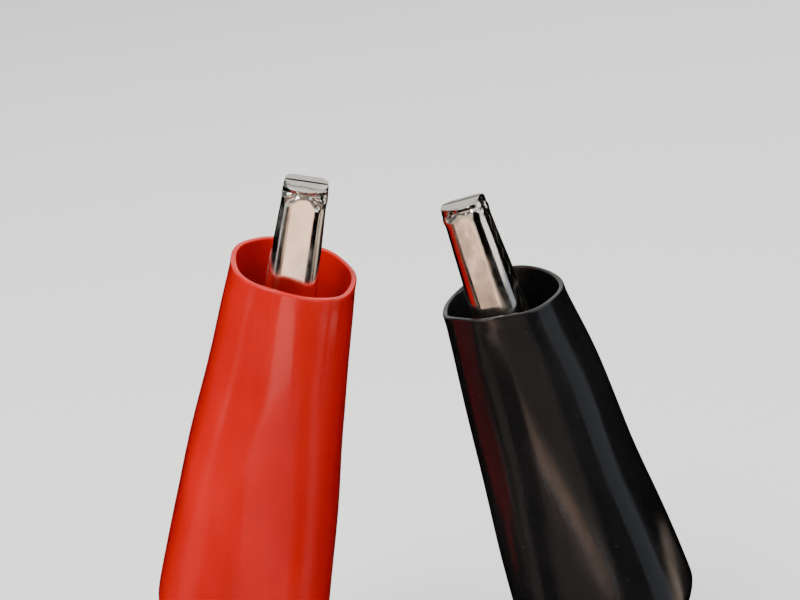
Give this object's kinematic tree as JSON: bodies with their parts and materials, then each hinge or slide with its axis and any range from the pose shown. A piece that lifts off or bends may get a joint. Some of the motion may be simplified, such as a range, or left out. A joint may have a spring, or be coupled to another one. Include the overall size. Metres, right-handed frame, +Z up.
{
  "type": "alligator clip lead",
  "caption": "Small test-lead clips in flared soft boots, one red and one black, with sprung serrated jaws, standing side by side as a pair.",
  "frame": {"origin": "centre of the red clip's cord inlet, at the end of its boot's neck", "axes": "+Z up, roughly along both clips towards their jaw tips; +X from the red clip to the black one; -Y the side of the fixed jaws' backs; the red clip leans 9 degrees towards +X and 3.5 towards -Y, the black one 19 degrees towards -X and 6.5 towards +Y and is turned 16 degrees about its own axis"},
  "size_m": [0.0294, 0.012, 0.0343],
  "materials": {
    "red_pvc": "glossy soft PVC, slightly translucent",
    "black_pvc": "glossy soft PVC",
    "jaw_plate": "bright nickel plate on pressed steel",
    "rivet": "dull nickel plate",
    "spring_wire": "drawn spring wire"
  },
  "bodies": {
    "red_clip": {"red_fixed_jaw": "jaw_plate", "red_crimp_tail": "jaw_plate", "red_pivot_pin": "rivet", "red_spring": "spring_wire", "red_boot": "red_pvc"},
    "red_jaw": {"red_moving_jaw": "jaw_plate"},
    "black_clip": {"black_fixed_jaw": "jaw_plate", "black_crimp_tail": "jaw_plate", "black_pivot_pin": "rivet", "black_spring": "spring_wire", "black_boot": "black_pvc"},
    "black_jaw": {"black_moving_jaw": "jaw_plate"}
  },
  "joints": [
    {"name": "red_jaw_hinge", "type": "hinge", "parent": "red_clip", "child": "red_jaw", "pos_m": [0.00321, -0.00243, 0.02014], "axis": [-0.9877, -0.0096, 0.1561], "range_deg": [0, 22], "stiffness_Nm_per_rad": 0.05, "springref_deg": -34.38, "deforming": ["red_spring"]},
    {"name": "black_clip_slide", "type": "slide", "parent": "red_clip", "child": "black_clip", "axis": [1, 0, 0], "range_m": [-0.003, 0.02]},
    {"name": "black_jaw_hinge", "type": "hinge", "parent": "black_clip", "child": "black_jaw", "pos_m": [0.01681, 0.00104, 0.01788], "axis": [-0.9089, 0.2384, -0.3421], "range_deg": [0, 22], "stiffness_Nm_per_rad": 0.05, "springref_deg": -34.38, "deforming": ["black_spring"]}
  ]
}
